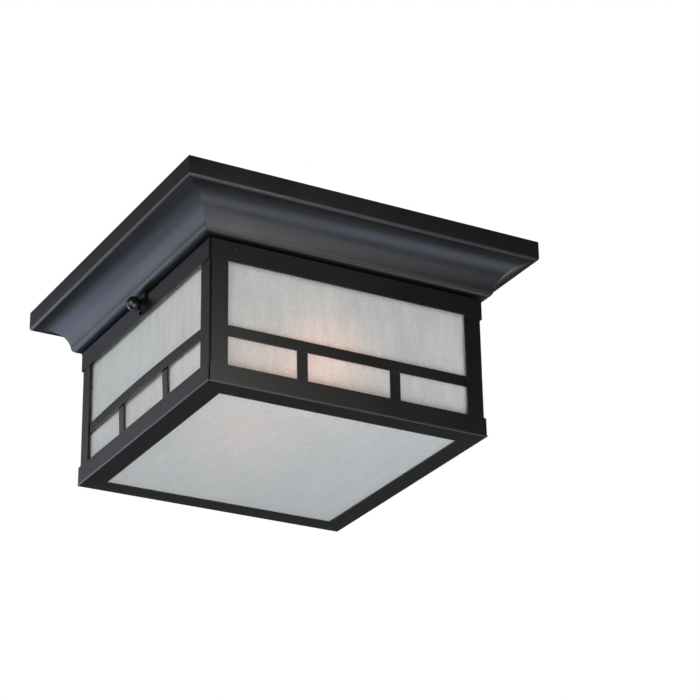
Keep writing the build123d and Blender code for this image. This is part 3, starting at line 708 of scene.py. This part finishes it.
class PORCHLIGHT_OT_bars(bpy.types.Operator):
    """Mid bars and muntins over the side panes"""

    bl_idname = "porch_light.bars"
    bl_label = "Glazing bars"

    def execute(self, context):
        metal = context.scene.porch_light_metal
        low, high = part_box("mid_bar_front")
        stations = np.linspace(low.x, high.x, BAR_STEPS)
        middle = (low.y + high.y) / 2
        height = (low.z + high.z) / 2
        muntin_low, muntin_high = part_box("muntins_front")
        heights = np.linspace(muntin_low.z, muntin_high.z, MUNTIN_STEPS)
        rise = (heights - muntin_low.z) / (muntin_high.z - muntin_low.z)
        width = metal.muntin_width
        for side, degrees in SIDES.items():
            # A sprung bar leans out by a cosine hump that is highest in the middle of the side.
            bow = metal.bar_bow if side == "left" else 0.0
            lean = bow * np.cos(math.pi * stations / (high.x - low.x))
            line = np.column_stack([stations, middle - lean, np.full_like(stations, height)])
            points, faces = bar_along(line, (0, 0, 1), (0, 1, 0), high.z - low.z, high.y - low.y)
            new_piece(f"bar_{side}", turned(points, degrees), faces, "black_enamel", "cage",
                      [f"mid_bar_{side}"], metal.edge_round)
            # Each muntin leans with the bar at its top and stands still at its foot.
            uprights = []
            for x in (muntin_low.x + width / 2, muntin_high.x - width / 2):
                shift = bow * math.cos(math.pi * x / (high.x - low.x)) * rise
                front = (muntin_low.y + muntin_high.y) / 2 - shift
                post = np.column_stack([np.full_like(heights, x), front, heights])
                uprights.append(bar_along(post, (1, 0, 0), (0, 1, 0), width, muntin_high.y - muntin_low.y))
            points, faces = joined(uprights)
            new_piece(f"uprights_{side}", turned(points, degrees), faces, "black_enamel", "cage",
                      [f"muntins_{side}"], metal.edge_round)
        return {"FINISHED"}


class PORCHLIGHT_OT_welds(bpy.types.Operator):
    """Welds that show through the enamel on the front side"""

    bl_idname = "porch_light.welds"
    bl_label = "Welds"

    def execute(self, context):
        metal = context.scene.porch_light_metal
        rail_low, rail_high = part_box("top_rail_front")
        muntin_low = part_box("muntins_front")[0]
        muntin = muntin_low.x + metal.muntin_width / 2
        bar_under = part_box("mid_bar_front")[0].z
        places = [
            (-rail_high.x + metal.rail_weld_inset, rail_low.y, rail_high.z - metal.rail_weld_drop),
            (muntin, muntin_low.y, bar_under),
            (-muntin, muntin_low.y, bar_under),
        ]
        points, faces = joined([self.mound(metal, place) for place in places])
        new_piece("weld_marks", points, faces, "black_enamel", "cage")
        return {"FINISHED"}

    def mound(self, metal, place):
        """Low round mound on the front, of the height rise * (1 - (distance / radius)^2)^2."""
        radius = metal.weld_radius
        distance = np.linspace(radius, 0, WELD_STEPS)
        height = metal.weld_rise * (1 - (distance / radius) ** 2) ** 2
        back = -metal.weld_rise / 2
        profile = np.concatenate([[[back, 0], [back, radius]], np.column_stack([height, distance])])
        points = lathe(profile, place, (0, -1, 0), WELD_SIDES)
        return points, grid_faces(len(profile), WELD_SIDES, close_columns=True)


class PORCHLIGHT_OT_thumb_screws(bpy.types.Operator):
    """Ball-headed thumb screws and their washers"""

    bl_idname = "porch_light.thumb_screws"
    bl_label = "Thumb screws"

    def execute(self, context):
        metal = context.scene.porch_light_metal
        for side, way in (("right", 1), ("left", -1)):
            self.turn_screw(metal, side, way)
            self.turn_washer(metal, side, way)
        return {"FINISHED"}

    def turn_screw(self, metal, side, way):
        """Screw as one lathe profile: a pointed shank with thread grooves, a flat seat and most of a circle.

        A groove's depth is a cosine of length over pitch.
        """
        low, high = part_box(f"thumb_screw_{side}")
        radius = metal.ball_radius
        reach = high.x - low.x
        shank = metal.screw_radius
        centre = reach - radius
        seat = math.sqrt(radius**2 - metal.seat_radius**2)
        seat_angle = math.degrees(math.atan2(metal.seat_radius, -seat))
        grooves = np.linspace(SCREW_POINT, centre - seat, THREAD_STEPS)
        depth = GROOVE_DEPTH * (1 - np.cos(2 * math.pi * grooves / metal.screw_pitch)) / 2
        profile = np.concatenate([
            [[0, 0], [0, shank - SCREW_CHAMFER]],
            np.column_stack([grooves, shank - depth]),
            arc((centre, 0), radius, seat_angle, 0, BALL_STEPS),
        ])
        profile[-1, 1] = 0
        start = (low.x if way > 0 else high.x, 0, (low.z + high.z) / 2)
        points = lathe(profile, start, (way, 0, 0), SCREW_SIDES)
        faces = grid_faces(len(profile), SCREW_SIDES, close_columns=True)
        new_piece(f"ball_screw_{side}", points, faces, "black_enamel", f"thumb_screw_{side}",
                  [f"thumb_screw_{side}"])

    def turn_washer(self, metal, side, way):
        """Washer as a closed rectangle profile turned into a ring."""
        low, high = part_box(f"thumb_washer_{side}")
        thick = high.x - low.x
        outer = (high.z - low.z) / 2
        inner = metal.screw_radius + WASHER_GAP
        profile = np.array([[0, inner], [0, outer], [thick, outer], [thick, inner]])
        start = (low.x if way > 0 else high.x, 0, (low.z + high.z) / 2)
        points = lathe(profile, start, (way, 0, 0), SCREW_SIDES)
        faces = grid_faces(4, SCREW_SIDES, close_rows=True, close_columns=True)
        new_piece(f"washer_{side}", points, faces, "black_enamel", f"thumb_washer_{side}",
                  [f"thumb_washer_{side}"], WASHER_ROUND)


class PORCHLIGHT_OT_bulbs(bpy.types.Operator):
    """Frosted bulbs and their threaded caps"""

    bl_idname = "porch_light.bulbs"
    bl_label = "Bulbs"

    def execute(self, context):
        glass = context.scene.porch_light_glass
        for place, way in (("front", -1), ("rear", 1)):
            self.blow_glass(glass, place, way)
            self.roll_cap(glass, place, way)
        return {"FINISHED"}

    def blow_glass(self, glass, place, way):
        """Envelope as a lathe profile: a straight neck, a flare and most of a circle, outside and inside."""
        low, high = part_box(f"bulb_glass_{place}")
        globe = (high.z - low.z) / 2
        reach = high.x - low.x
        centre = reach - globe
        start = (high.x if way < 0 else low.x, (low.y + high.y) / 2, (low.z + high.z) / 2)
        walls = []
        for inset in (0.0, glass.bulb_wall):
            neck = glass.bulb_neck - inset
            radius = globe - inset
            join = arc((centre, 0), radius, math.degrees(glass.bulb_flare), 0, GLOBE_STEPS)
            slope = -1 / math.tan(glass.bulb_flare)
            # The flare is a cubic that leaves the neck level and meets the circle along its own slope.
            share = np.linspace(0, 1, FLARE_STEPS)[:-1]
            first, last = glass.bulb_neck_length, join[0, 0]
            run = last - first
            rise = join[0, 1] - neck
            curve = neck + rise * (3 * share**2 - 2 * share**3) + slope * run * (share**3 - share**2)
            flare = np.column_stack([first + run * share, curve])
            walls.append(np.concatenate([[[0, neck]], flare, join]))
        walls[0][-1, 1] = 0
        walls[1][-1, 1] = 0
        profile = np.concatenate([walls[0], walls[1][::-1]])
        points = lathe(profile, start, (way, 0, 0), BULB_SIDES)
        faces = grid_faces(len(profile), BULB_SIDES, close_rows=True, close_columns=True)
        new_piece(f"bulb_{place}", points, faces, "frosted_bulb", f"bulb_{place}", [f"bulb_glass_{place}"])

    def roll_cap(self, glass, place, way):
        """Cap with a rolled thread, fading at its ends.

        The radius dips by a cosine of length over pitch less the turn.
        """
        low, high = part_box(f"bulb_cap_{place}")
        reach = high.x - low.x
        radius = (high.z - low.z) / 2
        share = np.linspace(0, 1, CAP_STEPS)[:, None]
        turn = np.linspace(0, 2 * math.pi, BULB_SIDES, endpoint=False)[None, :]
        fade = np.clip(np.minimum(share, 1 - share) / CAP_FADE, 0, 1)
        wave = (1 - np.cos(2 * math.pi * share * reach / glass.thread_pitch - turn)) / 2
        outer = radius - glass.thread_depth * fade * wave
        radii = np.concatenate([outer, outer[::-1] - glass.cap_wall])
        along = np.concatenate([share, share[::-1]])[:, :, None] * reach * np.array([way, 0, 0])
        ring = np.stack([np.zeros_like(turn), np.cos(turn), np.sin(turn)], axis=-1)
        start = np.array([high.x if way < 0 else low.x, (low.y + high.y) / 2, (low.z + high.z) / 2])
        points = start + along + radii[:, :, None] * ring
        faces = grid_faces(2 * CAP_STEPS, BULB_SIDES, close_rows=True, close_columns=True)
        new_piece(f"screw_cap_{place}", points.reshape(-1, 3), faces, "bulb_cap_metal", f"bulb_{place}",
                  [f"bulb_cap_{place}"])


# Stage
LAMPS = [
    # Name, place, width and height, radiance and colour. Radiance is how bright a lamp looks: 1 is white.
    ("Key lamp, front right", (0.3, -1.25, -0.1), (0.3, 0.6), 5.1, "#fffcfb"),
    ("Small lamp, near front", (0.08, -0.62, 0.03), (0.16, 0.16), 2.4, "#fffef4"),
    ("Fill lamp, front low", (0.45, -1.25, -0.7), (0.4, 0.6), 4.1, "#e8ebff"),
    ("Fill lamp, left", (-1.2, -0.3, -0.25), (1.0, 1.0), 3.5, "#ffffff"),
    ("Fill lamp, right", (1.3, 0.35, 0.0), (1.0, 0.9), 2.8, "#ffffff"),
    ("Fill lamp, above", (0.0, 0.0, 1.5), (1.4, 1.4), 2.2, "#ffffff"),
    ("Lamp below, left", (-0.35, -0.85, -1.25), (1.1, 1.0), 5.0, "#fafffd"),
    ("Lamp below, right", (0.65, -0.35, -1.25), (0.9, 0.5), 3.0, "#d6deff"),
    ("Rim lamp, back", (-0.35, 1.3, -0.3), (0.5, 0.6), 5.0, "#ccd8ff"),
    ("Rim lamp, back left", (-1.0, 1.3, -0.28), (0.7, 0.48), 2.4, "#e1edff"),
    ("Rim lamp, back left high", (-1.05, 1.3, 0.15), (0.7, 0.38), 2.7, "#dee6ff"),
    ("Rim lamp, back left top", (-1.05, 1.3, 0.48), (0.7, 0.28), 0.6, "#ffffff"),
]
LAMP_TARGET = Vector((0, 0, -0.09))
# The room as gloss and glass see it: dim in front and a little paler behind, with a soft change along Y
ROOM_CHANGE = (-0.3, 0.6)
ROOM_LEVELS = (0.02, 0.11)
EVEN_LEVEL = 0.13
WHITE_LEVEL = 1.0
FLOOR_GLOSS = (0.7, 0.85)
SENSOR_WIDTH = 36


class PORCHLIGHT_OT_stage(bpy.types.Operator):
    """Floor, studio lamps, white surroundings and the camera"""

    bl_idname = "porch_light.stage"
    bl_label = "Stage"

    def execute(self, context):
        stage = context.scene.porch_light_stage
        self.lay_floor(stage)
        self.hang_lamps()
        self.light_surroundings()
        self.place_camera(context, stage)
        context.scene.view_settings.view_transform = "Standard"
        return {"FINISHED"}

    def lay_floor(self, stage):
        """Flat grid of one square, matt and pale."""
        tree, place = new_material("Pale painted floor")
        cloud = noise(tree, place, per_metre(FLOOR_CLOUD_SIZE), 3.0)
        gloss = spread(tree, cloud, (0.0, 1.0), FLOOR_GLOSS)
        seen = add_node(tree, "ShaderNodeLightPath").outputs["Is Camera Ray"]
        lift = calculated(tree, "MULTIPLY", seen, stage.floor_lift)
        finish_surface(tree, {"Base Color": opaque(stage.floor), "Roughness": gloss,
                              "Emission Color": opaque(stage.floor), "Emission Strength": lift})
        half = stage.floor_size / 2
        corners = np.array([[-1, -1], [1, -1], [1, 1], [-1, 1]]) * half
        points = np.column_stack([corners, np.full(4, -stage.floor_drop)])
        mesh = bpy.data.meshes.new("floor")
        mesh.from_pydata(points.tolist(), [], [[0, 1, 2, 3]])
        mesh.materials.append(bpy.data.materials["Pale painted floor"])
        floor = bpy.data.objects.new("floor", mesh)
        bpy.context.scene.collection.objects.link(floor)

    def hang_lamps(self):
        """Soft rectangular lamps turned to the light, unseen by the camera."""
        for name, place, size, radiance, hex_colour in LAMPS:
            lamp = bpy.data.lights.new(name, "AREA")
            lamp.shape = "RECTANGLE"
            lamp.size, lamp.size_y = size
            lamp.energy = math.pi * size[0] * size[1] * radiance
            lamp.color = linear(hex_colour)
            rig = bpy.data.objects.new(name, lamp)
            rig.location = place
            rig.rotation_mode = "QUATERNION"
            rig.rotation_quaternion = (Vector(place) - LAMP_TARGET).to_track_quat("Z", "Y")
            rig.visible_camera = False
            bpy.context.scene.collection.objects.link(rig)

    def light_surroundings(self):
        """White to the camera, a dim room to gloss and glass, and a low even light to the rest."""
        world = bpy.data.worlds.new("White studio")
        world.use_nodes = True
        tree = world.node_tree
        tree.nodes.clear()
        way = add_node(tree, "ShaderNodeTexCoord").outputs["Generated"]
        across = add_node(tree, "ShaderNodeSeparateXYZ", {0: way}).outputs
        room = spread(tree, across["Y"], ROOM_CHANGE, ROOM_LEVELS, interpolation_type="SMOOTHSTEP")
        rays = add_node(tree, "ShaderNodeLightPath").outputs
        seen = calculated(tree, "MAXIMUM", rays["Is Glossy Ray"], rays["Is Transmission Ray"])
        level = add_node(tree, "ShaderNodeMix", {0: seen, 2: EVEN_LEVEL, 3: room}).outputs[0]
        strength = add_node(tree, "ShaderNodeMix",
                            {0: rays["Is Camera Ray"], 2: level, 3: WHITE_LEVEL}).outputs[0]
        white = opaque((1.0, 1.0, 1.0))
        sky = add_node(tree, "ShaderNodeBackground", {"Color": white, "Strength": strength})
        add_node(tree, "ShaderNodeOutputWorld", {"Surface": sky.outputs[0]})
        bpy.context.scene.world = world

    def place_camera(self, context, stage):
        """Camera that looks along the photograph's azimuth and elevation, tilted by its roll."""
        azimuth, elevation = stage.camera_azimuth, stage.camera_elevation
        back = Vector((math.sin(azimuth) * math.cos(elevation), -math.cos(azimuth) * math.cos(elevation),
                       math.sin(elevation)))
        view = (-back).to_track_quat("-Z", "Y").to_matrix() @ Matrix.Rotation(stage.camera_roll, 3, "Z")
        lens = bpy.data.cameras.new("camera")
        lens.lens = stage.lens
        lens.sensor_width = SENSOR_WIDTH
        camera = bpy.data.objects.new("camera", lens)
        camera.matrix_world = Matrix.Translation(stage.camera_place) @ view.to_4x4()
        context.scene.collection.objects.link(camera)
        context.scene.camera = camera


OPERATORS = (
    PORCHLIGHT_OT_finishes,
    PORCHLIGHT_OT_pan,
    PORCHLIGHT_OT_rails,
    PORCHLIGHT_OT_posts,
    PORCHLIGHT_OT_bars,
    PORCHLIGHT_OT_welds,
    PORCHLIGHT_OT_thumb_screws,
    PORCHLIGHT_OT_bulbs,
    PORCHLIGHT_OT_stage,
)
SETTINGS = {
    "porch_light_metal": PorchLightMetal,
    "porch_light_glass": PorchLightGlass,
    "porch_light_stage": PorchLightStage,
}


class PORCHLIGHT_PT_sidebar(bpy.types.Panel):
    """Buttons that build the light, and the settings that they read"""

    bl_idname = "PORCHLIGHT_PT_sidebar"
    bl_label = "Porch Ceiling Light"
    bl_space_type = "VIEW_3D"
    bl_region_type = "UI"
    bl_category = "Porch Light"

    def draw(self, context):
        for operator in OPERATORS:
            self.layout.operator(operator.bl_idname)
        for group in SETTINGS:
            settings = getattr(context.scene, group)
            box = self.layout.box()
            for name in settings.__annotations__:
                box.prop(settings, name)


def register():
    for group in SETTINGS.values():
        bpy.utils.register_class(group)
    for name, group in SETTINGS.items():
        setattr(bpy.types.Scene, name, PointerProperty(type=group))
    for operator in OPERATORS:
        bpy.utils.register_class(operator)
    bpy.utils.register_class(PORCHLIGHT_PT_sidebar)


def unregister():
    bpy.utils.unregister_class(PORCHLIGHT_PT_sidebar)
    for operator in reversed(OPERATORS):
        bpy.utils.unregister_class(operator)
    for name in SETTINGS:
        delattr(bpy.types.Scene, name)
    for group in reversed(SETTINGS.values()):
        bpy.utils.unregister_class(group)


def main():
    register()
    bpy.ops.porch_light.finishes()
    bpy.ops.porch_light.pan()
    bpy.ops.porch_light.rails()
    bpy.ops.porch_light.posts()
    bpy.ops.porch_light.bars()
    bpy.ops.porch_light.welds()
    bpy.ops.porch_light.thumb_screws()
    bpy.ops.porch_light.bulbs()
    bpy.ops.porch_light.stage()


if __name__ == "__main__":
    main()
